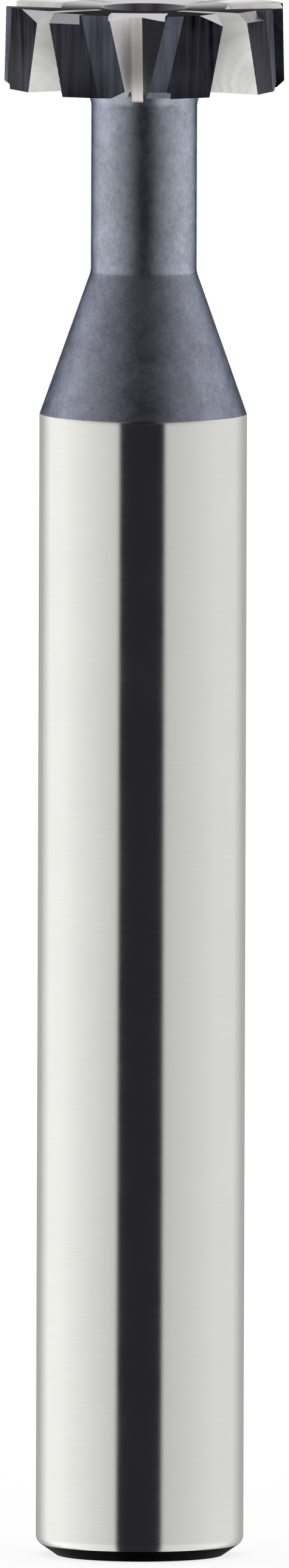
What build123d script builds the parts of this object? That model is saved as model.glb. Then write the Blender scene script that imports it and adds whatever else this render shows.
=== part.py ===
from build123d import *
import os
from math import atan2, cos, degrees, hypot, radians, sin

# A T-slot milling cutter, ground from one bar of tool steel.
# It stands on its shank end, with the cutting head up. The origin is the centre of the
# shank's end face and +Z runs up the axis. Sizes are in millimetres and degrees.
# An azimuth of 0 faces -Y, and azimuths grow towards +X.

# Overall sizes
overall_length = 75.0
shank_diameter = 10.0
shank_length = 55.2
cone_length = 6.9
neck_diameter = 5.1
cutting_diameter = 13.5
cutting_width = 4.0

# Shank end, neck and end faces
shank_chamfer_height = 0.7
shank_chamfer_inset = 1.0
cone_fillet = 1.2
head_fillet = 1.0
face_dish = 0.12

# Centre holes that the cutter is ground between
centre_pilot_radius = 0.75
head_centre_radius = 2.1
shank_centre_radius = 1.5
centre_cone_angle = 60.0
centre_depth = 3.2

# Staggered teeth. Each gash is narrow at one end of the head and wide at the other, and
# neighbouring gashes are turned end for end, so the teeth lean back and forward in turn.
tooth_count = 8
first_gash_azimuth = -3.4
gash_half_wide = 12.3
gash_half_narrow = 4.3
gash_depth_wide = 2.45
gash_depth_narrow = 4.0
gash_floor_behind = 0.45
gash_floor_ahead = 0.1
gash_corner_radius = 0.1
heel_drop = 0.32
margin_width = 0.1

# Where the flat land ends and the flat heel begins: the share of the tooth's width,
# and how far the surface has dropped below the cutting circle there
back_land_share = 0.58
back_land_drop = 0.15
forward_land_share = 0.27
forward_land_drop = 0.06

# Ground corners. The leading corner has a level bevel, and the heel's corner is cleared.
# Those at the cutting end are larger than those at the neck's end.
back_bevel_height = 0.5
back_bevel_inset = 0.5
back_bevel_length = 1.6
forward_bevel_height = 0.35
forward_bevel_inset = 0.4
forward_bevel_length = 1.0
back_clearance_height = 0.35
back_clearance_inset = 0.4
back_clearance_length = 0.8
forward_clearance_height = 0.6
forward_clearance_inset = 0.7
forward_clearance_length = 1.5
wheel_width = 2.0

# A shallow notch in the cutting end, over each gash that is wide there
notch_depth = 0.25
notch_end_radius = 3.9
notch_half_width = 1.38

# Sizes that follow from those above
shank_radius = shank_diameter / 2
neck_radius = neck_diameter / 2
head_radius = cutting_diameter / 2
head_bottom = overall_length - cutting_width
cone_top = shank_length + cone_length
pitch = 360 / tooth_count
overshoot = cutting_width / 8
outside_radius = 1.3 * head_radius


def at(radius, azimuth):
    """Return the point at this radius and azimuth, as x and y."""
    return (radius * sin(radians(azimuth)), -radius * cos(radians(azimuth)))


def beside(along, across, azimuth):
    """Return the point this far out along the azimuth, then this far across, with azimuths."""
    turn = radians(azimuth)
    return (along * sin(turn) + across * cos(turn), -along * cos(turn) + across * sin(turn))


def beyond(inner, outer, length):
    """Return the point this length past the outer point, on the line from the inner one."""
    run = hypot(outer[0] - inner[0], outer[1] - inner[1])
    reach = 1 + length / run
    return (inner[0] + reach * (outer[0] - inner[0]), inner[1] + reach * (outer[1] - inner[1]))


def from_narrow_end(wide_end_up, z):
    """Return how far height z is from a gash's narrow end, as a share of the head's width."""
    rise = (z - head_bottom) / cutting_width
    return rise if wide_end_up else 1 - rise


def gash_half(wide_end_up, z):
    """Return half the gash's angle at height z. It changes evenly from end to end."""
    share = from_narrow_end(wide_end_up, z)
    return gash_half_narrow + share * (gash_half_wide - gash_half_narrow)


def floor_radius(wide_end_up, z):
    """Return how far the gash's floor is from the axis at height z. The narrow end is deep."""
    share = from_narrow_end(wide_end_up, z)
    return head_radius - gash_depth_narrow + share * (gash_depth_narrow - gash_depth_wide)


def tooth_section(leans_back, z):
    """Return the corners of one tooth and of the gash after it, at height z.

    The tooth starts at its leading edge, next to the gash before it. A tooth that leans
    back has a gash with its narrow end up before it and one with its wide end up after it.
    """
    last_gash = first_gash_azimuth if leans_back else first_gash_azimuth + pitch
    lead = last_gash - pitch + gash_half(not leans_back, z)
    heel = last_gash - gash_half(leans_back, z)
    next_lead = last_gash + gash_half(leans_back, z)
    share = back_land_share if leans_back else forward_land_share
    drop = back_land_drop if leans_back else forward_land_drop
    margin = degrees(margin_width / head_radius)
    return {
        "lead": at(head_radius, lead + margin),
        "land_end": at(head_radius - drop, lead + share * (heel - lead)),
        "heel": at(head_radius - heel_drop, heel),
        "floor_start": beside(floor_radius(leans_back, z), -gash_floor_behind, last_gash),
        "floor_end": beside(floor_radius(leans_back, z), gash_floor_ahead, last_gash),
        "next_lead": at(head_radius, next_lead),
    }


def space_outline(leans_back, z):
    """Return the outline of all that is ground away along one tooth and its gash."""
    corners = tooth_section(leans_back, z)
    start = beyond(corners["land_end"], corners["lead"], overshoot)
    finish = beyond(corners["floor_end"], corners["next_lead"], overshoot)
    start_azimuth = degrees(atan2(start[0], -start[1]))
    finish_azimuth = degrees(atan2(finish[0], -finish[1]))
    return [
        start,
        corners["land_end"],
        corners["heel"],
        corners["floor_start"],
        corners["floor_end"],
        finish,
        at(outside_radius, finish_azimuth),
        at(outside_radius, (start_azimuth + finish_azimuth) / 2),
        at(outside_radius, start_azimuth),
    ]


def corner_plane(leans_back, z_end, corner_name, height, inset, length=None):
    """Return the plane of a flat ground across one outer corner of a tooth.

    It crosses the corner's edge the height away from the end face, and the end face the
    inset nearer the axis. Along the land it is level, or it runs out after the length.
    """
    inward = -1 if z_end == overall_length else 1
    corners = tooth_section(leans_back, z_end)
    cut = tooth_section(leans_back, z_end + inward * height)
    corner = Vector(*corners[corner_name], z_end)
    edge = Vector(*cut[corner_name], z_end + inward * height)
    along = (Vector(*corners["land_end"], z_end) - corner).normalized()
    side = corner + along * length if length else edge + along
    end_point = corner + (Vector(0, 0, z_end) - corner).normalized() * inset
    normal = (side - edge).cross(end_point - edge).normalized()
    if normal.dot(corner - end_point) < 0:
        normal = normal * -1
    return Plane(origin=edge, x_dir=(side - edge).normalized(), z_dir=normal)


# The turned blank, with its neck, shoulder cone and dished end faces
with BuildPart() as t_slot_cutter:
    with BuildSketch(Plane.XZ) as half_section:
        with BuildLine():
            Polyline(
                (0, 0),
                (shank_radius - shank_chamfer_inset, 0),
                (shank_radius, shank_chamfer_height),
                (shank_radius, shank_length),
                (neck_radius, cone_top),
                (neck_radius, head_bottom + face_dish),
                (head_radius, head_bottom),
                (head_radius, overall_length),
                (head_centre_radius, overall_length - face_dish),
                (0, overall_length - face_dish),
                close=True,
            )
        make_face()
        cone_corner = Vertex(neck_radius, cone_top, 0)
        head_corner = Vertex(neck_radius, head_bottom + face_dish, 0)
        fillet(half_section.vertices().sort_by_distance(cone_corner)[0], cone_fillet)
        fillet(half_section.vertices().sort_by_distance(head_corner)[0], head_fillet)
    revolve(axis=Axis.Z)

# One grinding pass for each way a tooth can lean, carried from end to end of the head
for leans_back in (True, False):
    with BuildPart() as tooth_space:
        for z in (head_bottom - overshoot, overall_length + overshoot):
            with BuildSketch(Plane.XY.offset(z)):
                Polygon(*space_outline(leans_back, z), align=None)
        loft(ruled=True)
        axis_line = Edge.make_line((0, 0, head_bottom), (0, 0, overall_length))
        upright = tooth_space.edges().filter_by(lambda edge: abs(edge.tangent_at(0.5).Z) > 0.5)
        fillet(upright.sort_by_distance(axis_line)[0:2], gash_corner_radius)
    with t_slot_cutter:
        with PolarLocations(0, tooth_count // 2):
            add(tooth_space.part, mode=Mode.SUBTRACT)

# Ground corners: the leading corner of each tooth at its sharp end, and the heel's
# corner at the other end
for leans_back in (True, False):
    lead_end = overall_length if leans_back else head_bottom
    heel_end = head_bottom if leans_back else overall_length
    if leans_back:
        bevel_height = back_bevel_height
        bevel_inset = back_bevel_inset
        bevel_length = back_bevel_length
        clearance_height = back_clearance_height
        clearance_inset = back_clearance_inset
        clearance_length = back_clearance_length
    else:
        bevel_height = forward_bevel_height
        bevel_inset = forward_bevel_inset
        bevel_length = forward_bevel_length
        clearance_height = forward_clearance_height
        clearance_inset = forward_clearance_inset
        clearance_length = forward_clearance_length
    bevel_plane = corner_plane(leans_back, lead_end, "lead", bevel_height, bevel_inset)
    clearance_plane = corner_plane(
        leans_back, heel_end, "heel", clearance_height, clearance_inset, clearance_length
    )
    with BuildPart(bevel_plane) as bevel_tool:
        with Locations((-overshoot, 0, 0)):
            Box(
                bevel_length + overshoot,
                wheel_width,
                wheel_width,
                align=(Align.MIN, Align.CENTER, Align.MIN),
            )
    with BuildPart(clearance_plane) as clearance_tool:
        with Locations((-overshoot, 0, 0)):
            Box(
                wheel_width + overshoot,
                wheel_width,
                wheel_width,
                align=(Align.MIN, Align.CENTER, Align.MIN),
            )
    with t_slot_cutter:
        with PolarLocations(0, tooth_count // 2):
            add(bevel_tool.part, mode=Mode.SUBTRACT)
            add(clearance_tool.part, mode=Mode.SUBTRACT)

# Notches in the cutting end, each with its inner end sloped at 45 degrees
with BuildPart() as notch:
    with BuildSketch(Plane.YZ):
        Polygon(
            (overshoot - notch_end_radius, overall_length + overshoot),
            (-notch_end_radius - notch_depth, overall_length - notch_depth),
            (-outside_radius, overall_length - notch_depth),
            (-outside_radius, overall_length + overshoot),
            align=None,
        )
    extrude(amount=notch_half_width, both=True)
with t_slot_cutter:
    with PolarLocations(0, tooth_count // 2, start_angle=first_gash_azimuth):
        add(notch.part, mode=Mode.SUBTRACT)

# Centre holes in both ends
with t_slot_cutter:
    with Locations(Location((0, 0, overall_length - face_dish))):
        CounterSinkHole(centre_pilot_radius, head_centre_radius, centre_depth, centre_cone_angle)
    with Locations(Location((0, 0, 0), (180, 0, 0))):
        CounterSinkHole(centre_pilot_radius, shank_centre_radius, centre_depth, centre_cone_angle)

os.makedirs("parts", exist_ok=True)
t_slot_cutter.part.label = "t_slot_cutter"
export_step(t_slot_cutter.part, "parts/t_slot_cutter.step")
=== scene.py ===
from math import atan, cos, degrees, pi, radians, sin, tan
from types import SimpleNamespace

import bpy
import numpy as np
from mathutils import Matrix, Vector


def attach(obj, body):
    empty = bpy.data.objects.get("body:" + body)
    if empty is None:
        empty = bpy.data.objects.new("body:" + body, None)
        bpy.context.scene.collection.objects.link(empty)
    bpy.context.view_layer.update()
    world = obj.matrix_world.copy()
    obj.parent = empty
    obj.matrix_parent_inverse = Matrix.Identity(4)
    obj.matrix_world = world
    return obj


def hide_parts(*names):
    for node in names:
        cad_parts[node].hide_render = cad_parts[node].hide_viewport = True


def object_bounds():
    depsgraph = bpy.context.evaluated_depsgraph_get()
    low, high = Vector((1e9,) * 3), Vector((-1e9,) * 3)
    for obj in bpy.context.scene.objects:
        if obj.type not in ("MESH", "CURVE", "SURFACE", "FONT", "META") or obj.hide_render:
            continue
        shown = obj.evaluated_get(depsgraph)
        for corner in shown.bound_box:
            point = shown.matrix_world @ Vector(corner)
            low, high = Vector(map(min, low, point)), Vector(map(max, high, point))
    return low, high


# The looks of a T-slot milling cutter, built round its packed solid. The tool is one piece:
# a turned blank, from which the tooth spaces and the corners of the teeth are ground away.
# Shapes are worked out in millimetres and put into the mesh in metres. An azimuth of 0
# faces -Y, and azimuths grow towards +X.

bl_info = {
    "name": "T-slot cutter",
    "version": (1, 0, 0),
    "blender": (4, 5, 0),
    "location": "3D View > Sidebar > Cutter",
    "description": "Builds a T-slot milling cutter with staggered teeth and its ground finishes",
    "category": "Add Mesh",
}

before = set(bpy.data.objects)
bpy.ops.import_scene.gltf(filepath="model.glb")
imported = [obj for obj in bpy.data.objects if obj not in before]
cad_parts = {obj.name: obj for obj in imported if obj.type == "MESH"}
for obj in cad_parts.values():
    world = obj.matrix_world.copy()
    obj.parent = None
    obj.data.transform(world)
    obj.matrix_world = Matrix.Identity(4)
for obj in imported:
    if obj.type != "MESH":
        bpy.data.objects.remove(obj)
cad_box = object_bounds()
MM = 0.001
NODE = "t_slot_cutter"
FINISHES = (
    "bright_shank",
    "painted_dark_end",
    "satin_neck",
    "cone_coat_painted_darker",
    "end_face",
    "dark_hub",
    "dark_coat_and_painted_shade",
    "painted_highlight_facet",
    "ground_gash",
    "gash_painted_lighter",
    "ground_corner",
    "dull_corner",
)
SHANK, END, NECK, CONE, FACE, HUB, DARK, PAINTED_HIGHLIGHT, GASH, OPEN, CORNER, DULL = range(len(FINISHES))

# How finely the round shapes and the leaning walls of the gashes are divided
BLANK_COLUMNS = 256
RING_COLUMNS = 72
CONE_FILLET_STEPS = 7
HEAD_FILLET_STEPS = 17
END_ROUND_STEPS = 6
FLOOR_CORNER_STEPS = 4
TOOTH_LEVELS = 13

# How far the grinding wheels' paths go past the head, as shares of its width and its radius
PAST_HEAD = 1 / 8
OUTSIDE_HEAD = 1.3

# Edges that turn by more than the first angle are rounded, and shading breaks past the second
ROUNDED_EDGE = 25.0
SHARP_EDGE = 11.0

# Depth of the grinding marks where the bump is at full strength, in metres
MARK_DEPTH = 0.002 * MM

# For unit directions with z under the first number and y under the second, the tent's walls
# are sheared
SHEARED_BELOW = -0.09
SHEARED_BEFORE = 0.55

# Elevations between which the tent's back turns from dark to bright. They lie just above the
# camera's own, and in the front view the dark part makes the dark line in the cutting end
BACK_DARK_TO = 5.3
BACK_BRIGHT_FROM = 6.1

# Tent levels under the first number are made bluer by the second
DIM_LEVEL = 0.1
DIM_BLUE = 1.3

# Half the side of the floor, in metres
FLOOR_REACH = 3.0


def length(name, description, millimetres):
    """Return a length property with its default given in millimetres."""
    return bpy.props.FloatProperty(
        name=name, description=description, default=millimetres * MM, unit="LENGTH", precision=5
    )


def angle(name, description, value):
    """Return an angle property with its default given in degrees."""
    return bpy.props.FloatProperty(
        name=name, description=description, default=radians(value), subtype="ANGLE"
    )


def share(name, description, value):
    """Return a property for a share between 0 and 1."""
    return bpy.props.FloatProperty(
        name=name, description=description, default=value, min=0.0, max=1.0, subtype="FACTOR"
    )


def colour(name, description, value):
    """Return a colour property."""
    return bpy.props.FloatVectorProperty(
        name=name, description=description, default=value, size=3, subtype="COLOR", min=0.0, max=1.0
    )


class TSLOT_PG_blank(bpy.types.PropertyGroup):
    """Sizes of the turned blank, before any tooth is ground."""

    overall_length: length("Overall length", "From the shank's end to the cutting end", 75.0)
    shank_diameter: length("Shank diameter", "Diameter of the straight shank", 10.0)
    shank_length: length("Shank length", "From the shank's end to the foot of the cone", 55.2)
    cone_length: length("Cone length", "Height of the shoulder cone", 6.9)
    neck_diameter: length("Neck diameter", "Diameter of the neck under the head", 5.1)
    cutting_diameter: length("Cutting diameter", "Diameter over the teeth", 13.5)
    cutting_width: length("Cutting width", "Height of the toothed head", 4.0)
    chamfer_height: length("Chamfer height", "Height of the chamfer at the shank's end", 0.7)
    chamfer_inset: length("Chamfer inset", "How far the chamfer comes in", 1.0)
    cone_fillet: length("Cone fillet", "Radius between the cone and the neck", 1.2)
    head_fillet: length("Head fillet", "Radius between the neck and the head", 1.0)
    face_dish: length("Face dish", "How deep the end faces of the head are dished", 0.12)
    pilot_radius: length("Pilot radius", "Radius of the centre holes' pilots", 0.75)
    head_centre_radius: length("Head centre radius", "Mouth of the head's centre hole", 2.1)
    shank_centre_radius: length("Shank centre radius", "Mouth of the shank's centre hole", 1.5)
    centre_depth: length("Centre depth", "Depth of the centre holes", 3.2)
    centre_angle: angle("Centre angle", "Full angle of the centre holes' cones", 60.0)
    hub_radius: length("Hub radius", "Where the dark middle of the cutting end begins", 4.3)
    end_round: length("End rounding", "Radius between the chamfer and the shank", 0.5)
    edge_break: length("Edge break", "Width of the tiny flat on each turned edge", 0.05)
    edge_reach: length("Edge reach", "How far the shading of the shank's edges reaches", 0.3)


class TSLOT_PG_teeth(bpy.types.PropertyGroup):
    """Sizes of the staggered teeth and of the gashes between them."""

    tooth_count: bpy.props.IntProperty(
        name="Teeth", description="Number of teeth, always even", default=8, min=4, step=2
    )
    first_gash: angle("First gash", "Azimuth of the gash nearest the viewer", -3.4)
    gash_half_wide: angle("Wide half angle", "Half the gash's angle at its wide end", 12.3)
    gash_half_narrow: angle("Narrow half angle", "Half the gash's angle at its narrow end", 4.3)
    gash_depth_wide: length("Wide end depth", "Depth of the gash at its wide end", 2.45)
    gash_depth_narrow: length("Narrow end depth", "Depth of the gash at its narrow end", 4.0)
    floor_behind: length("Floor behind", "Gash floor on the heel's side of its middle", 0.45)
    floor_ahead: length("Floor ahead", "Gash floor on the next tooth's side of its middle", 0.1)
    floor_corner: length("Floor corner", "Radius in the corners of the gash's floor", 0.1)
    heel_drop: length("Heel drop", "How far the heel lies below the cutting circle", 0.32)
    margin_width: length("Margin width", "Width of the margin behind the leading edge", 0.1)
    back_land: share("Back land", "Land's share of a tooth that leans back", 0.58)
    back_drop: length("Back drop", "Drop at the end of that land", 0.15)
    forward_land: share("Forward land", "Land's share of a tooth that leans forward", 0.27)
    forward_drop: length("Forward drop", "Drop at the end of that land", 0.06)
    back_bevel_height: length("Back bevel height", "Bevel on a tooth that leans back", 0.5)
    back_bevel_inset: length("Back bevel inset", "How far that bevel comes in", 0.5)
    back_bevel_length: length("Back bevel length", "How far it runs along the land", 1.6)
    forward_bevel_height: length("Forward bevel height", "Bevel on a tooth that leans forward", 0.35)
    forward_bevel_inset: length("Forward bevel inset", "How far that bevel comes in", 0.4)
    forward_bevel_length: length("Forward bevel length", "How far it runs along the land", 1.0)
    back_clearance_height: length("Back clearance height", "Heel flat, tooth leaning back", 0.35)
    back_clearance_inset: length("Back clearance inset", "How far that flat comes in", 0.4)
    back_clearance_length: length("Back clearance length", "Where it runs out", 0.8)
    forward_clearance_height: length("Forward clearance height", "Heel flat, tooth leaning forward", 0.6)
    forward_clearance_inset: length("Forward clearance inset", "How far that flat comes in", 0.7)
    forward_clearance_length: length("Forward clearance length", "Where it runs out", 1.5)
    wheel_width: length("Wheel width", "Width of the wheel that grinds the corners", 2.0)
    notch_depth: length("Notch depth", "Depth of the notches in the cutting end", 0.25)
    notch_end: length("Notch end", "Radius at which a notch's slope starts", 3.9)
    notch_half: length("Notch half width", "Half the width of a notch", 1.38)
    edge_round: length("Edge rounding", "Width of the rounding on the ground edges", 0.02)


class TSLOT_PG_finish(bpy.types.PropertyGroup):
    """Colours of the ground and the dark surfaces. The lighter tooth facets, the open gashes, the cone
    and the shank's end carry painted light or shade.
    """

    bright: colour("Bright steel", "Ground shank", (0.78, 0.78, 0.745))
    gash: colour("Gash", "Gashes that are narrow at the cutting end", (0.71, 0.71, 0.69))
    # Painted light: a lighter copy of the gash colour, against the shade inside these gashes
    gash_painted_lighter: colour("Open gash", "Gashes that are wide at the cutting end", (0.78, 0.755, 0.735))
    corner: colour("Corner", "Ground corners of the teeth", (0.60, 0.59, 0.61))
    dull: colour("Bevel", "Leading bevels at the cutting end", (0.36, 0.35, 0.38))
    neck: colour("Neck", "Satin neck", (0.41, 0.42, 0.50))
    # Painted shade: a darker copy of the neck's coat, for the cone's dimmer reflection
    cone: colour("Cone", "Satin cone", (0.31, 0.31, 0.385))
    # The teeth's own dark coat, also used as painted shade on the far wall of each open gash
    dark: colour("Dark facet", "Dark facets of the teeth", (0.032, 0.031, 0.041))
    # Painted highlight: a lighter copy of the dark coat, on the tooth facets that catch light
    light: colour("Light facet", "Lighter facets of the teeth", (0.205, 0.22, 0.28))
    face: colour("End face", "Ground rim of the cutting end", (0.95, 0.95, 0.95))
    hub: colour("Hub", "Dark middle of the cutting end", (0.16, 0.15, 0.18))
    # Painted shade: near black for the dark reflection in the chamfer, the shank's end, its centre hole
    # and the bottom of the head's centre hole
    black: colour("Black end", "Chamfer and end of the shank", (0.004, 0.004, 0.005))


class TSLOT_PG_studio(bpy.types.PropertyGroup):
    """Where the camera stands and how the light tent is shaped."""

    elevation: angle("Elevation", "Camera's height above the horizon", 5.1)
    lean: angle("Lean", "How far the tool's top leans to the right in the picture", 0.19)
    picture_height: length("Picture height", "Height that the picture covers", 75.578)
    aim_across: length("Aim across", "How far the picture's middle is right of the axis", 0.1212)
    aim_height: length("Aim height", "Height of the picture's middle on the axis", 37.283)
    slit: angle("Slit", "Half width of the dark slit that the camera looks through", 23.3)
    shadow: share("Shadow", "How much of the object's shadow the floor shows", 0.2)
    ring_radius: length("Ring radius", "Radius of the lit ring round the neck", 25.0)
    ring_bottom: length("Ring bottom", "Height of the ring's lower edge", 57.5)
    ring_top: length("Ring top", "Height of the ring's upper edge", 69.0)


def in_millimetres(group):
    """Return a property group's values, with its lengths in millimetres and its angles in degrees."""
    values = SimpleNamespace()
    for name, prop in group.bl_rna.properties.items():
        if prop.is_readonly or name == "name":
            continue
        value = getattr(group, name)
        if prop.unit == "LENGTH":
            value = value / MM
        elif prop.unit == "ROTATION":
            value = degrees(value)
        setattr(values, name, value)
    return values


def at(radius, azimuth):
    """Points at these radii and azimuths in degrees: x = r sin a, y = -r cos a."""
    turn = np.radians(azimuth)
    return np.stack(np.broadcast_arrays(radius * np.sin(turn), -radius * np.cos(turn)), -1)


def beside(along, across, azimuth):
    """Points this far out along the azimuth, then this far across it."""
    return at(along, azimuth) + at(across, azimuth + 90.0)


def beyond(inner, outer, distance):
    """The point past the outer one by the distance, on the line from the inner one."""
    step = outer - inner
    return outer + distance * step / np.linalg.norm(step, axis=-1, keepdims=True)


def arc(centre, radius, start, stop, steps):
    """Points (r, z) on a circle round the centre, between two angles in radians."""
    turn = np.linspace(start, stop, steps)
    return np.stack([centre[0] + radius * np.cos(turn), centre[1] + radius * np.sin(turn)], -1)


def broken_corners(corners, width):
    """A profile with each inner corner cut by a flat: the corner p becomes two points, each
    half the width from p towards its neighbour."""
    before, here, after = corners[:-2], corners[1:-1], corners[2:]
    back, ahead = before - here, after - here
    back /= np.linalg.norm(back, axis=1, keepdims=True)
    ahead /= np.linalg.norm(ahead, axis=1, keepdims=True)
    pairs = np.stack([here + back * width / 2, here + ahead * width / 2], 1)
    return np.concatenate([corners[:1], pairs.reshape(-1, 2), corners[-1:]])


def rounded_corner(before, corner, after, radius, steps):
    """Arc points that round a corner, for whole arrays of corners: the arc touches both sides,
    its centre lies on the bisector at r / sin(half angle), and it sweeps pi less the angle."""
    back = (before - corner) / np.linalg.norm(before - corner, axis=-1, keepdims=True)
    ahead = (after - corner) / np.linalg.norm(after - corner, axis=-1, keepdims=True)
    half = np.arccos(np.clip((back * ahead).sum(-1, keepdims=True), -1, 1)) / 2
    middle = (back + ahead) / np.linalg.norm(back + ahead, axis=-1, keepdims=True)
    centre = corner + middle * radius / np.sin(half)
    start = corner + back * radius / np.tan(half) - centre
    finish = corner + ahead * radius / np.tan(half) - centre
    sweep = pi - 2 * half
    part = np.linspace(0, 1, steps)[:, None]
    start, finish, centre, sweep = (value[..., None, :] for value in (start, finish, centre, sweep))
    spokes = np.sin((1 - part) * sweep) * start + np.sin(part * sweep) * finish
    return centre + spokes / np.sin(sweep)


def side_faces(index):
    """Four-sided faces that join each ring of point numbers, shape (n, m), to the next ring."""
    following = np.roll(index, -1, axis=1)
    quads = np.stack([index[:-1], following[:-1], following[1:], index[1:]], -1)
    return quads.reshape(-1, 4).tolist()


def mesh_of_shells(name, shells):
    """A mesh of closed shells. Each shell is rings of points, shape (n, m, 3), with one finish for
    each side face, shape (n - 1, m), and one for both caps. Sides join ring i to ring i + 1,
    and the first and the last ring are each closed by one flat face."""
    points, faces, finishes = [], [], []
    offset = 0
    for rings, sides, cap in shells:
        count, across = rings.shape[:2]
        index = offset + np.arange(count * across).reshape(count, across)
        points += rings.reshape(-1, 3).tolist()
        faces += side_faces(index) + [index[0, ::-1].tolist(), index[-1].tolist()]
        finishes += np.broadcast_to(sides, (count - 1, across)).ravel().tolist() + [cap, cap]
        offset += count * across
    mesh = bpy.data.meshes.new(name)
    mesh.from_pydata(points, [], faces)
    mesh.polygons.foreach_set("material_index", finishes)
    mesh.validate()
    return mesh


def turned(points, columns):
    """Turn points (r, z) round the axis, in even columns: x = r sin a, y = -r cos a."""
    around = np.linspace(0, 360, columns, endpoint=False)
    flat = at(points[:, :1], around[None, :])
    height = np.broadcast_to(points[:, 1, None, None], flat.shape[:2] + (1,))
    return np.concatenate([flat, height], -1)


def neck_fillets(blank):
    """The fillets at the neck's two ends, as points (r, z): the one from the cone and the one to
    the head's underside. A fillet of radius R touches both its lines at R tan(turn / 2) from
    their corner."""
    neck = blank.neck_diameter / 2
    steepness = atan((blank.shank_diameter / 2 - neck) / blank.cone_length)
    cone_reach = blank.cone_fillet * tan(steepness / 2)
    cone_top = blank.shank_length + blank.cone_length
    cone_centre = (neck + blank.cone_fillet, cone_top + cone_reach)
    dish = atan(blank.face_dish / (blank.cutting_diameter / 2 - neck))
    head_reach = blank.head_fillet * tan((pi / 2 + dish) / 2)
    underside = blank.overall_length - blank.cutting_width + blank.face_dish
    head_centre = (neck + blank.head_fillet, underside - head_reach)
    return (
        arc(cone_centre, blank.cone_fillet, pi + steepness, pi, CONE_FILLET_STEPS),
        arc(head_centre, blank.head_fillet, pi, pi / 2 - dish, HEAD_FILLET_STEPS),
    )


def shank_profile(blank, cone_start):
    """The shank's end and side as points (r, z), from the mouth of its centre hole to the start
    of the cone's fillet, and the height at which the chamfer ends."""
    radius = blank.shank_diameter / 2
    slope = tan(radians(blank.centre_angle / 2))
    pilot = (blank.pilot_radius, (blank.shank_centre_radius - blank.pilot_radius) / slope)
    mouth = (blank.shank_centre_radius, 0.0)
    rim = np.array((radius - blank.chamfer_inset, 0.0))
    edge = np.array((radius, blank.chamfer_height))
    foot = np.array((radius, blank.shank_length))
    end_arc = rounded_corner(rim, edge, foot, blank.end_round, END_ROUND_STEPS)
    hole = broken_corners(np.array([pilot, mouth, rim, end_arc[0]]), blank.edge_break)
    side = broken_corners(np.array([end_arc[-1], foot, cone_start]), blank.edge_break)
    # Points near both ends of the straight side keep the edges' shading from spreading over it
    straight = [(radius, side[0, 1] + blank.edge_reach), (radius, side[1, 1] - blank.edge_reach)]
    points = np.concatenate([hole, end_arc[1:-1], side[:1], straight, side[1:]])
    return points, end_arc[0, 1]


def head_profile(blank):
    """The head's outside, its dished cutting end and its centre hole as points (r, z)."""
    head = blank.cutting_diameter / 2
    face = blank.overall_length - blank.face_dish
    slope = tan(radians(blank.centre_angle / 2))
    dish = blank.face_dish / (head - blank.head_centre_radius)
    return np.array([
        (head, blank.overall_length - blank.cutting_width),
        (head, blank.overall_length),
        (blank.hub_radius, face + dish * (blank.hub_radius - blank.head_centre_radius)),
        (blank.head_centre_radius, face),
        (blank.pilot_radius, face - (blank.head_centre_radius - blank.pilot_radius) / slope),
        (blank.pilot_radius, face - blank.centre_depth),
    ])


def blank_finishes(blank, points, chamfer_top):
    """The finish of each stretch of the blank's profile, told by the stretch's middle."""
    radius, height = ((points[1:] + points[:-1]) / 2).T
    under_head = blank.overall_length - blank.cutting_width
    cone_foot = blank.shank_length + blank.edge_break / 2
    cone_top = blank.shank_length + blank.cone_length
    hole_bottom = blank.overall_length - blank.centre_depth
    finishes = np.full(len(points) - 1, NECK)
    finishes[height < cone_foot] = SHANK
    # The chamfer, the end and the centre hole are painted near black, as shade
    finishes[(height < chamfer_top) | (radius < blank.shank_centre_radius)] = END
    finishes[(height > cone_foot) & (height < cone_top)] = CONE
    finishes[height > under_head + blank.face_dish / 2] = FACE
    finishes[(height > hole_bottom) & (radius < blank.hub_radius)] = HUB
    finishes[(radius == blank.cutting_diameter / 2) & (height > under_head)] = DARK
    return finishes


def turned_blank(blank):
    """The blank as one shell: its half-section, from the bottom of the shank's centre hole, out
    and up, to the bottom of the head's centre hole, carried once round the axis."""
    cone_fillet, head_fillet = neck_fillets(blank)
    lower, chamfer_top = shank_profile(blank, cone_fillet[0])
    bottom = [(blank.pilot_radius, blank.centre_depth)]
    points = np.concatenate([bottom, lower, cone_fillet[1:], head_fillet, head_profile(blank)])
    finishes = blank_finishes(blank, points, chamfer_top)
    return mesh_of_shells("turned_blank", [(turned(points, BLANK_COLUMNS), finishes[:, None], END)])


def tooth_section(blank, teeth, leans_back, heights):
    """The corners of one tooth and of the gash after it, at each height.

    The gash's half angle and the depth of its floor change evenly between its narrow, deep end
    and its wide, shallow one. A tooth that leans back has a gash before it that is narrow at
    the top, and one after it that is wide there."""
    head = blank.cutting_diameter / 2
    rise = (heights - blank.overall_length + blank.cutting_width) / blank.cutting_width
    pitch = 360 / teeth.tooth_count
    gash = teeth.first_gash if leans_back else teeth.first_gash + pitch
    widening = teeth.gash_half_wide - teeth.gash_half_narrow
    after = teeth.gash_half_narrow + widening * (rise if leans_back else 1 - rise)
    before = teeth.gash_half_narrow + widening * (1 - rise if leans_back else rise)
    shallowing = teeth.gash_depth_narrow - teeth.gash_depth_wide
    floor = head - teeth.gash_depth_narrow + shallowing * (rise if leans_back else 1 - rise)
    lead, heel = gash - pitch + before, gash - after
    land = teeth.back_land if leans_back else teeth.forward_land
    drop = teeth.back_drop if leans_back else teeth.forward_drop
    return {
        "lead": at(head, lead + degrees(teeth.margin_width / head)),
        "land_end": at(head - drop, lead + land * (heel - lead)),
        "heel": at(head - teeth.heel_drop, heel),
        "floor_start": beside(floor, -teeth.floor_behind, gash),
        "floor_end": beside(floor, teeth.floor_ahead, gash),
        "next_lead": at(head, gash + after),
    }


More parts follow.
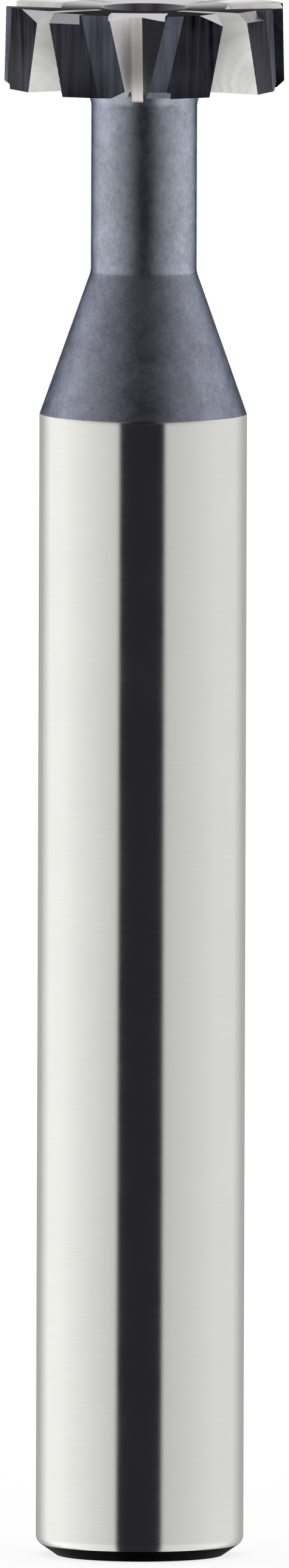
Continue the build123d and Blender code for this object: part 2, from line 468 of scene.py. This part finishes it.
def tooth_space(blank, teeth, leans_back):
    """All that is ground away along one tooth and its gash: a section whose corners move on
    straight lines between two heights just past the head's ends, so its walls are ruled.

    The land of a tooth that leans back has the dark coat and its heel a painted highlight, a
    lighter copy of that coat, and the other way round on one that leans forward. The gash that
    is wide at the cutting end is painted lighter, against the shade inside it, and the leading
    face beyond it is painted dark, as shade."""
    past = blank.cutting_width * PAST_HEAD
    ends = np.array([blank.overall_length - blank.cutting_width - past, blank.overall_length + past])
    corners = tooth_section(blank, teeth, leans_back, ends)
    outside = OUTSIDE_HEAD * blank.cutting_diameter / 2
    start = beyond(corners["land_end"], corners["lead"], past)
    finish = beyond(corners["floor_end"], corners["next_lead"], past)
    first, last = (np.degrees(np.arctan2(end[:, 0], -end[:, 1])) for end in (start, finish))
    outline = np.stack([
        start, corners["land_end"], corners["heel"], corners["floor_start"], corners["floor_end"],
        finish, at(outside, last), at(outside, (first + last) / 2), at(outside, first),
    ], 1)
    part = np.linspace(0, 1, TOOTH_LEVELS)[:, None, None]
    outline = outline[0] + part * (outline[1] - outline[0])
    left, right = (
        rounded_corner(*outline[:, i - 1:i + 2].swapaxes(0, 1), teeth.floor_corner, FLOOR_CORNER_STEPS)
        for i in (3, 4)
    )
    flat = np.concatenate([outline[:, :3], left, right, outline[:, 5:]], 1)
    heights = np.broadcast_to(ends[0] + part * (ends[1] - ends[0]), flat.shape[:2] + (1,))
    rings = np.concatenate([flat, heights], -1)
    # The lighter one of land and heel is a painted highlight on the same dark coat
    land, heel = (DARK, PAINTED_HIGHLIGHT) if leans_back else (PAINTED_HIGHLIGHT, DARK)
    gash, last_wall = (OPEN, DARK) if leans_back else (GASH, GASH)
    # The gash after a tooth that leans back is painted lighter, against its shade
    gash_faces = [gash] * 2 * FLOOR_CORNER_STEPS
    # On a tooth that leans back, last_wall is painted dark, as shade
    sides = np.array([land, heel] + gash_faces + [last_wall] + [DARK] * 4)
    return rings, sides, GASH


def box_on_plane(origin, along, normal, reach, width):
    """A box that stands on a plane: from reach[0] to reach[1] along it, half the width to
    each side, and the width out along the normal."""
    side = np.cross(normal, along)
    square = np.array([(0, -0.5), (0, 0.5), (1, 0.5), (1, -0.5)]) * width
    ring = square[:, :1] * normal + square[:, 1:] * side
    return np.stack([origin + step * along + ring for step in reach])


def corner_box(blank, teeth, leans_back, corner_name):
    """The wheel's path across a tooth's leading corner or its heel's corner.

    Its plane crosses the corner's edge the height away from the end face, and the end face the
    inset nearer the axis. It is level along the leading corner's land, and runs out along the
    heel's. The leading bevels at the cutting end are duller than the other corners."""
    head_bottom = blank.overall_length - blank.cutting_width
    leading = corner_name == "lead"
    at_top = leans_back == leading
    end, inward = (blank.overall_length, -1) if at_top else (head_bottom, 1)
    name = ("back" if leans_back else "forward") + ("_bevel_" if leading else "_clearance_")
    height, inset, run_out = (getattr(teeth, name + size) for size in ("height", "inset", "length"))
    levels = np.array([end, end + inward * height])
    section = tooth_section(blank, teeth, leans_back, levels)
    corner = np.append(section[corner_name][0], end)
    edge = np.append(section[corner_name][1], levels[1])
    along = np.append(section["land_end"][0], end) - corner
    along /= np.linalg.norm(along)
    side = edge + along if leading else corner + along * run_out
    inner = corner + np.append(-corner[:2], 0.0) / np.linalg.norm(corner[:2]) * inset
    run = (side - edge) / np.linalg.norm(side - edge)
    normal = np.cross(side - edge, inner - edge)
    normal /= np.linalg.norm(normal) * np.sign(normal @ (corner - inner))
    reach = (-blank.cutting_width * PAST_HEAD, run_out if leading else teeth.wheel_width)
    finish = DULL if leading and at_top else CORNER
    return box_on_plane(edge, run, normal, reach, teeth.wheel_width), finish, finish


def end_notch(blank, teeth):
    """A notch in the cutting end: a section in the plane of the gash, carried across it.

    Its inner end slopes at 45 degrees, with the finish of the teeth's corners. Its floor is
    finished like the end face, and its side walls like the gash below it."""
    top, past = blank.overall_length, blank.cutting_width * PAST_HEAD
    outside = OUTSIDE_HEAD * blank.cutting_diameter / 2
    floor = top - teeth.notch_depth
    section = np.array([
        (teeth.notch_end - past, top + past),
        (teeth.notch_end + teeth.notch_depth, floor),
        (outside, floor),
        (outside, top + past),
    ])
    rings = [
        np.column_stack([beside(section[:, 0], offset, teeth.first_gash), section[:, 1]])
        for offset in (-teeth.notch_half, teeth.notch_half)
    ]
    sides = np.array([CORNER, FACE, FACE, FACE])
    # The notch's side walls take the open gash's colour, which is painted lighter
    return np.stack(rings), sides, OPEN


def outward(shell):
    """The shell with its rings turned round, if its faces point inwards. They do when the first
    ring's area, the sum of cross(a, b) over its neighbouring points, points away from the
    last ring."""
    rings, sides, cap = shell
    axis = rings[-1].mean(0) - rings[0].mean(0)
    ring = rings[0] - rings[0].mean(0)
    area = np.cross(ring, np.roll(ring, -1, axis=0)).sum(0) @ axis
    if area < 0:
        rings = rings[:, ::-1]
        if np.ndim(sides):
            sides = np.roll(sides[..., ::-1], -1, axis=-1)
    return rings, sides, cap


def round_the_head(shell, count):
    """Copies of a shell, turned evenly round the axis."""
    rings, sides, cap = shell
    copies = []
    for turn in np.arange(count) * 2 * pi / count:
        matrix = np.array([(cos(turn), sin(turn), 0), (-sin(turn), cos(turn), 0), (0, 0, 1)])
        copies.append((rings @ matrix, sides, cap))
    return copies


def grind(piece, shells):
    """Take all the shells away from the piece at once, and leave each cut face its finish."""
    mesh = mesh_of_shells("wheel_paths", shells)
    paths = bpy.data.objects.new("wheel_paths", mesh)
    bpy.context.collection.objects.link(paths)
    for material in piece.data.materials:
        mesh.materials.append(material)
    cut = piece.modifiers.new("grind", "BOOLEAN")
    cut.operation = "DIFFERENCE"
    cut.solver = "EXACT"
    cut.use_self = True
    cut.material_mode = "INDEX"
    cut.object = paths
    settle(piece)
    bpy.data.objects.remove(paths)
    bpy.data.meshes.remove(mesh)


def settle(piece):
    """Put the result of the piece's modifiers into its mesh."""
    bpy.context.view_layer.update()
    graph = bpy.context.evaluated_depsgraph_get()
    mesh = bpy.data.meshes.new_from_object(piece.evaluated_get(graph))
    old = piece.data
    piece.modifiers.clear()
    piece.data = mesh
    mesh.name = old.name
    bpy.data.meshes.remove(old)


def fit_to_cad_box(mesh):
    """Turn the mesh's points from millimetres into metres. If the cut edges pass the sides of
    the solid's box, which is by micrometres, all x and y are brought in to meet it."""
    points = np.empty(len(mesh.vertices) * 3)
    mesh.vertices.foreach_get("co", points)
    points = points.reshape(-1, 3) * MM
    half_box = np.abs(np.array(cad_box)[:, :2]).min()
    points[:, :2] *= min(1.0, half_box / np.abs(points[:, :2]).max())
    mesh.vertices.foreach_set("co", points.ravel())


class Nodes:
    """Short ways to add nodes to one tree and join them."""

    def __init__(self, tree):
        self.tree = tree

    def add(self, kind, settings=None, **inputs):
        """Add a node with these settings. Its inputs are named, with _ for a space."""
        node = self.tree.nodes.new(kind)
        for name, value in (settings or {}).items():
            setattr(node, name, value)
        for name, value in inputs.items():
            self.put(node, name.replace("_", " "), value)
        return node

    def put(self, node, socket, value):
        """Give an input a value, or join another node's output to it."""
        target = node.inputs[socket]
        if isinstance(value, bpy.types.NodeSocket):
            self.tree.links.new(value, target)
        else:
            target.default_value = value

    def math(self, operation, *values):
        """Add a sum or another operation on numbers, and return its result."""
        node = self.tree.nodes.new("ShaderNodeMath")
        node.operation = operation
        for index, value in enumerate(values):
            self.put(node, index, value)
        return node.outputs[0]

    def blend(self, kind, factor, first, second):
        """Add a mix of two colours, and return its result."""
        node = self.add("ShaderNodeMix", {"data_type": "RGBA", "blend_type": kind})
        for socket, value in ((0, factor), (6, first), (7, second)):
            self.put(node, socket, value)
        return node.outputs[2]

    def parts(self, coordinate):
        """Add a texture coordinate, and return its x, y and z and its azimuth from -Y."""
        place = self.add("ShaderNodeTexCoord").outputs[coordinate]
        x, y, z = self.add("ShaderNodeSeparateXYZ", Vector=place).outputs
        return x, y, z, self.math("ARCTAN2", x, self.math("MULTIPLY", y, -1.0))

    def ramp_place(self, turn):
        """Turn an angle in radians into a place on a ramp: from -pi to pi is from 0 to 1."""
        return self.math("MULTIPLY_ADD", turn, 0.5 / pi, 0.5)


def grinding_marks_group():
    """Fine marks that a grinding wheel leaves: noise on (x / r, y / r, z), where r is the distance
    from the axis, and with one scale round the axis and one along it. Puts out the marks and
    some slow patches, both around 0."""
    group = bpy.data.node_groups.new("grinding_marks", "ShaderNodeTree")
    for name, value in (("Around", 10.0), ("Along", 10.0), ("Patch size", 300.0)):
        socket = group.interface.new_socket(name, in_out="INPUT", socket_type="NodeSocketFloat")
        socket.default_value = value
    for name in ("Marks", "Patches"):
        group.interface.new_socket(name, in_out="OUTPUT", socket_type="NodeSocketFloat")
    nodes = Nodes(group)
    given = nodes.add("NodeGroupInput").outputs
    place = nodes.add("ShaderNodeTexCoord").outputs["Object"]
    parts = nodes.add("ShaderNodeSeparateXYZ", Vector=place).outputs
    squares = [nodes.math("POWER", parts[axis], 2.0) for axis in ("X", "Y")]
    radius = nodes.math("SQRT", nodes.math("ADD", *squares))
    around = nodes.math("DIVIDE", given["Around"], nodes.math("MAXIMUM", radius, 0.01 * MM))
    stretched = nodes.add("ShaderNodeCombineXYZ")
    nodes.put(stretched, "X", nodes.math("MULTIPLY", parts["X"], around))
    nodes.put(stretched, "Y", nodes.math("MULTIPLY", parts["Y"], around))
    nodes.put(stretched, "Z", nodes.math("MULTIPLY", parts["Z"], given["Along"]))
    stretched = stretched.outputs[0]
    fine = nodes.add("ShaderNodeTexNoise", Vector=stretched, Scale=1.0, Detail=3.0, Roughness=0.6)
    slow = nodes.add("ShaderNodeTexNoise", Vector=place, Scale=given["Patch size"], Detail=2.0)
    out = nodes.add("NodeGroupOutput")
    nodes.put(out, "Marks", nodes.math("SUBTRACT", fine.outputs[0], 0.5))
    nodes.put(out, "Patches", nodes.math("SUBTRACT", slow.outputs[0], 0.5))
    return group


def metal(name, base, roughness, around, along, tint, dent, metallic, edge):
    """A metal with grinding marks of these scales round the axis and along it. They change its
    colour by the tint, its roughness by half, and dent its surface. The edge level is how
    strongly it reflects at a grazing angle. Returns the material, its nodes, its shader and
    the tinted colour."""
    material = bpy.data.materials.new(name)
    material.use_nodes = True
    nodes = Nodes(material.node_tree)
    shader = material.node_tree.nodes["Principled BSDF"]
    marks = nodes.add("ShaderNodeGroup", {"node_tree": bpy.data.node_groups["grinding_marks"]})
    nodes.put(marks, "Around", around)
    nodes.put(marks, "Along", along)
    both = nodes.math("ADD", marks.outputs["Marks"], marks.outputs["Patches"])
    level = nodes.math("MULTIPLY_ADD", both, tint, 1.0)
    tinted = nodes.add("ShaderNodeVectorMath", {"operation": "SCALE"}, Scale=level)
    nodes.put(tinted, 0, base)
    nodes.put(shader, "Base Color", tinted.outputs[0])
    nodes.put(shader, "Metallic", metallic)
    nodes.put(shader, "Roughness", nodes.math("MULTIPLY_ADD", both, roughness / 2, roughness))
    marks = marks.outputs["Marks"]
    bump = nodes.add("ShaderNodeBump", Strength=dent, Distance=MARK_DEPTH, Height=marks)
    nodes.put(shader, "Normal", bump.outputs[0])
    nodes.put(shader, "Specular Tint", (edge, edge, edge, 1.0))
    return material, nodes, shader, tinted.outputs[0]


def ground_metal(name, base, roughness, around, along, tint=0.12, dent=0.15, metallic=1.0, edge=1.0):
    """The material of such a metal. At a metallic level near 0 it is a matt ground surface."""
    return metal(name, base, roughness, around, along, tint, dent, metallic, edge)[0]


def satin_coat(name, base, roughness, edge):
    """A dark coat on metal. Cloudy patches change its level and turn it between violet and blue,
    and it reflects little at its outline."""
    material, nodes, shader, tinted = metal(
        name, base, roughness, around=8.0, along=2500.0, tint=0.25, dent=0.3, metallic=1.0, edge=edge
    )
    place = nodes.add("ShaderNodeTexCoord").outputs["Object"]
    # The clouds are about a millimetre wide and the grain about a sixth of one
    clouds = nodes.add("ShaderNodeTexNoise", Vector=place, Scale=900.0, Detail=4.0, Roughness=0.7)
    grain = nodes.add("ShaderNodeTexNoise", Vector=place, Scale=6000.0, Detail=2.0)
    clouds, grain = clouds.outputs[0], grain.outputs[0]
    uneven = nodes.math("ADD", clouds, nodes.math("MULTIPLY", grain, 0.6))
    level = nodes.math("MULTIPLY_ADD", uneven, 0.9, 0.28)
    shaded = nodes.add("ShaderNodeVectorMath", {"operation": "SCALE"}, Scale=level)
    nodes.put(shaded, 0, tinted)
    blueness = nodes.math("MULTIPLY_ADD", clouds, 2.5, -0.75)
    hue = nodes.blend("MULTIPLY", blueness, shaded.outputs[0], (0.94, 1.03, 1.0, 1.0))
    nodes.put(shader, "Base Color", hue)
    return material


def build_finishes(finish):
    """The materials, in the order of FINISHES. The two numbers after a roughness are the scales
    of the marks round the axis and along it."""
    grinding_marks_group()
    bright, satin = 0.12, 0.38
    return [
        ground_metal("bright_shank", finish.bright, bright, 3.0, 9000.0, tint=0.06, dent=0.1),
        # Near black, painted shade for the dark reflection in the chamfer and the shank's end
        ground_metal("painted_dark_end", finish.black, satin, 3.0, 6000.0, edge=0.55),
        satin_coat("satin_neck", finish.neck, 0.32, 0.1),
        # The cone: painted shade, the neck's coat made darker for its dimmer reflection
        satin_coat("cone_coat_painted_darker", finish.cone, satin, 0.1),
        ground_metal("end_face", finish.face, 0.06, 60.0, 800.0, tint=0.1, dent=0.0),
        ground_metal("dark_hub", finish.hub, 0.08, 60.0, 800.0, tint=0.1, dent=0.0),
        # The teeth's dark coat, also painted shade on the far wall of each open gash
        ground_metal("dark_coat_and_painted_shade", finish.dark, satin, 26.0, 160.0, tint=3.5, dent=0.3, edge=0.72),
        # Painted highlight: a lighter copy of the dark coat
        ground_metal("painted_highlight_facet", finish.light, satin, 26.0, 160.0, tint=2.2, dent=0.3, edge=0.4),
        ground_metal("ground_gash", finish.gash, 0.45, 30.0, 250.0, tint=0.8, dent=0.2, metallic=0.12),
        # Painted light: brighter than the other gashes, against the shade inside them
        ground_metal("gash_painted_lighter", finish.gash_painted_lighter, 0.45, 30.0, 250.0, tint=0.5, dent=0.2, metallic=0.0),
        ground_metal("ground_corner", finish.corner, 0.3, 60.0, 500.0, tint=0.15, dent=0.2),
        ground_metal("dull_corner", finish.dull, 0.3, 60.0, 500.0, tint=0.6, dent=0.2),
    ]


class TSLOT_OT_build_cutter(bpy.types.Operator):
    """Turn the blank, grind its gashes, lands and corners, and give each surface its finish"""

    bl_idname = "tslot.build_cutter"
    bl_label = "Build cutter"

    def execute(self, context):
        scene = context.scene
        blank = in_millimetres(scene.tslot_blank)
        teeth = in_millimetres(scene.tslot_teeth)
        cutter = bpy.data.objects.new("cutter", turned_blank(blank))
        context.collection.objects.link(cutter)
        for material in build_finishes(scene.tslot_finish):
            cutter.data.materials.append(material)
        paths = [end_notch(blank, teeth)]
        for leans_back in (True, False):
            paths.append(tooth_space(blank, teeth, leans_back))
            paths += [corner_box(blank, teeth, leans_back, name) for name in ("lead", "heel")]
        pairs = teeth.tooth_count // 2
        grind(cutter, [copy for path in paths for copy in round_the_head(outward(path), pairs)])
        rounding = cutter.modifiers.new("rounding", "BEVEL")
        rounding.width = teeth.edge_round
        rounding.segments = 1
        rounding.limit_method = "ANGLE"
        rounding.angle_limit = radians(ROUNDED_EDGE)
        settle(cutter)
        fit_to_cad_box(cutter.data)
        cutter.data.shade_smooth()
        cutter.data.set_sharp_from_angle(angle=radians(SHARP_EDGE))
        cutter.data.update()
        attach(cutter, "root")
        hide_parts(NODE)
        return {"FINISHED"}


def ramp(nodes, place, stops):
    """A colour ramp. Each stop is a place in degrees, from -180 to 180, and a level of light;
    the dimmest stops are a little blue."""
    node = nodes.add("ShaderNodeValToRGB", Fac=place)
    elements = node.color_ramp.elements
    while len(elements) < len(stops):
        elements.new(0.5)
    for element, (degree, level) in zip(elements, stops):
        element.position = degree / 360 + 0.5
        element.color = (level, level, level * (DIM_BLUE if level < DIM_LEVEL else 1.0), 1.0)
    return node.outputs[0]


def wall_azimuth(nodes, x, y, z, turn):
    """The azimuth at which the tent's walls are read, for a direction (x, y, z) whose own azimuth
    is the turn. Low down and not far back the walls are sheared, and it is 2 atan2(x, 1 - y).

    That is twice the azimuth of a surface that mirrors a level line of sight along +Y, which
    is close to the photograph's, into this direction. In that view the slanting cone then
    shows the bands of the upright shank. The tent stands still, so other views differ."""
    half = nodes.math("ARCTAN2", x, nodes.math("SUBTRACT", 1.0, y))
    low = nodes.math("LESS_THAN", z, SHEARED_BELOW)
    sheared = nodes.math("MULTIPLY", low, nodes.math("LESS_THAN", y, SHEARED_BEFORE))
    change = nodes.math("SUBTRACT", nodes.math("MULTIPLY", half, 2.0), turn)
    return nodes.math("MULTIPLY_ADD", sheared, change, turn)


def light_tent(world, slit):
    """White to the camera and to matt surfaces. Polished ones see a tent. Its walls have a dark
    slit at the front and a level that changes with azimuth. Between 1 and 9 degrees up they
    turn into softer ones, in which the slit opens out, and above 50 degrees into a white roof.
    Far below they are a little brighter. At the very back they are dark up to about 6 degrees."""
    world.use_nodes = True
    world.node_tree.nodes.clear()
    nodes = Nodes(world.node_tree)
    x, y, z, turn = nodes.parts("Generated")
    around = nodes.ramp_place(wall_azimuth(nodes, x, y, z, turn))
    height = nodes.ramp_place(nodes.math("ARCSINE", z))
    walls = ramp(nodes, around, [
        (-180, 0.4), (-150, 0.5), (-125, 1.1), (-100, 1.1), (-slit - 5, 0.7), (-slit - 1, 0.02),
        (slit - 1, 0.02), (slit + 3, 0.65), (90, 0.85), (125, 0.85), (150, 0.5), (180, 0.4),
    ])
    soft = ramp(nodes, around, [
        (-180, 0.9), (-120, 0.8), (-90, 0.55), (-60, 0.28), (-35, 0.12), (0, 0.015), (35, 0.14),
        (60, 0.36), (90, 0.65), (120, 0.85), (180, 0.9),
    ])
    softness = ramp(nodes, height, [(1, 0.0), (9, 1.0)])
    roof = ramp(nodes, height, [(50, 0.0), (65, 1.0)])
    gain = ramp(nodes, height, [(-30, 1.2), (-14, 1.0)])
    behind = ramp(nodes, around, [(-177.5, 1.0), (-168, 0.0), (168, 0.0), (177.5, 1.0)])
    back_level = ramp(nodes, height, [(BACK_DARK_TO, 0.03), (BACK_BRIGHT_FROM, 1.0)])
    back = nodes.math("MULTIPLY_ADD", behind, nodes.math("SUBTRACT", back_level, 1.0), 1.0)
    above_back = ramp(nodes, height, [(BACK_DARK_TO, 0.0), (BACK_BRIGHT_FROM, 1.0)])
    white = nodes.math("MAXIMUM", roof, nodes.math("MULTIPLY", behind, above_back))
    tent = nodes.blend("MIX", softness, walls, soft)
    tent = nodes.blend("MULTIPLY", 1.0, tent, nodes.math("MULTIPLY", back, gain))
    tent = nodes.blend("LIGHTEN", 1.0, tent, white)
    ray = nodes.add("ShaderNodeLightPath").outputs
    polished = nodes.math("MAXIMUM", ray["Is Glossy Ray"], ray["Is Transmission Ray"])
    seen = nodes.blend("MIX", polished, (1.0, 1.0, 1.0, 1.0), tent)
    background = nodes.add("ShaderNodeBackground", Color=seen, Strength=1.0)
    out = nodes.add("ShaderNodeOutputWorld")
    nodes.put(out, "Surface", background.outputs[0])


def stage_material(name):
    """A material with an empty node tree, and its nodes."""
    material = bpy.data.materials.new(name)
    material.use_nodes = True
    material.node_tree.nodes.clear()
    return material, Nodes(material.node_tree)


def neck_ring(studio):
    """A lit ring round the neck, which only reflections see: a cylinder between two heights. It is
    dark in front and behind, and grows brighter towards both sides."""
    material, nodes = stage_material("neck_ring")
    turn = nodes.parts("Object")[3]
    level = ramp(nodes, nodes.ramp_place(turn), [
        (-180, 0.1), (-160, 0.1), (-130, 1.0), (-90, 1.0), (-10, 0.0), (10, 0.0), (90, 1.0),
        (130, 1.0), (160, 0.1), (180, 0.1),
    ])
    light = nodes.add("ShaderNodeEmission", Color=level, Strength=1.0)
    out = nodes.add("ShaderNodeOutputMaterial")
    nodes.put(out, "Surface", light.outputs[0])
    edges = [(studio.ring_radius, height) for height in (studio.ring_bottom, studio.ring_top)]
    rings = turned(np.array(edges), RING_COLUMNS)
    faces = side_faces(np.arange(2 * RING_COLUMNS).reshape(2, RING_COLUMNS))
    mesh = bpy.data.meshes.new("neck_ring")
    mesh.from_pydata(rings.reshape(-1, 3).tolist(), [], faces)
    mesh.materials.append(material)
    ring = bpy.data.objects.new("neck_ring", mesh)
    ring.visible_camera = False
    ring.visible_diffuse = False
    ring.visible_shadow = False
    return ring


def floor_material(shadow):
    """White floor. The camera sees part of its matt shading, which keeps the object's shadow."""
    material, nodes = stage_material("white_floor")
    matt = nodes.add("ShaderNodeBsdfDiffuse", Color=(1.0, 1.0, 1.0, 1.0))
    white = nodes.add("ShaderNodeEmission", Strength=1.0)
    ray = nodes.add("ShaderNodeLightPath").outputs["Is Camera Ray"]
    blend = nodes.add("ShaderNodeMixShader", Fac=nodes.math("MULTIPLY", ray, 1.0 - shadow))
    nodes.put(blend, 1, matt.outputs[0])
    nodes.put(blend, 2, white.outputs[0])
    out = nodes.add("ShaderNodeOutputMaterial")
    nodes.put(out, "Surface", blend.outputs[0])
    return material


class TSLOT_OT_set_stage(bpy.types.Operator):
    """Set the white floor, the ring round the neck, the light tent and the camera"""

    bl_idname = "tslot.set_stage"
    bl_label = "Set stage"

    def execute(self, context):
        scene = context.scene
        studio = scene.tslot_studio
        corners = np.array([(-1, -1, 0), (1, -1, 0), (1, 1, 0), (-1, 1, 0)]) * FLOOR_REACH
        mesh = bpy.data.meshes.new("floor")
        mesh.from_pydata(corners.tolist(), [], [(0, 1, 2, 3)])
        floor = bpy.data.objects.new("floor", mesh)
        mesh.materials.append(floor_material(studio.shadow))
        context.collection.objects.link(floor)
        floor.visible_glossy = False
        ring = neck_ring(studio)
        context.collection.objects.link(ring)
        scene.world = bpy.data.worlds.new("light_tent")
        light_tent(scene.world, degrees(studio.slit))
        camera = bpy.data.objects.new("camera", bpy.data.cameras.new("camera"))
        context.collection.objects.link(camera)
        camera.data.type = "ORTHO"
        camera.data.ortho_scale = studio.picture_height
        camera.rotation_euler = (pi / 2 - studio.elevation, -studio.lean, 0.0)
        backwards = camera.rotation_euler.to_matrix() @ Vector((0.0, 0.0, 1.0))
        camera.location = Vector((studio.aim_across, 0.0, studio.aim_height)) + backwards
        scene.camera = camera
        scene.view_settings.view_transform = "Standard"
        return {"FINISHED"}


class TSLOT_PT_panel(bpy.types.Panel):
    """Sizes, finishes and steps of the cutter"""

    bl_idname = "TSLOT_PT_panel"
    bl_label = "T-slot cutter"
    bl_space_type = "VIEW_3D"
    bl_region_type = "UI"
    bl_category = "Cutter"

    def draw(self, context):
        for operator in OPERATORS:
            self.layout.operator(operator.bl_idname)
        for name, group in SETTINGS.items():
            box = self.layout.box()
            box.label(text=group.__doc__)
            settings = getattr(context.scene, name)
            for prop in group.__annotations__:
                box.prop(settings, prop)


OPERATORS = (TSLOT_OT_build_cutter, TSLOT_OT_set_stage)
SETTINGS = {
    "tslot_blank": TSLOT_PG_blank,
    "tslot_teeth": TSLOT_PG_teeth,
    "tslot_finish": TSLOT_PG_finish,
    "tslot_studio": TSLOT_PG_studio,
}


def register():
    """Register the settings, the operators and the panel."""
    for name, group in SETTINGS.items():
        bpy.utils.register_class(group)
        setattr(bpy.types.Scene, name, bpy.props.PointerProperty(type=group))
    for kind in OPERATORS + (TSLOT_PT_panel,):
        bpy.utils.register_class(kind)


def unregister():
    """Take back all that register() did."""
    for kind in reversed(OPERATORS + (TSLOT_PT_panel,)):
        bpy.utils.unregister_class(kind)
    for name, group in reversed(SETTINGS.items()):
        delattr(bpy.types.Scene, name)
        bpy.utils.unregister_class(group)


def main():
    """Build the cutter and its stage."""
    register()
    bpy.ops.tslot.build_cutter()
    bpy.ops.tslot.set_stage()


if __name__ == "__main__":
    main()
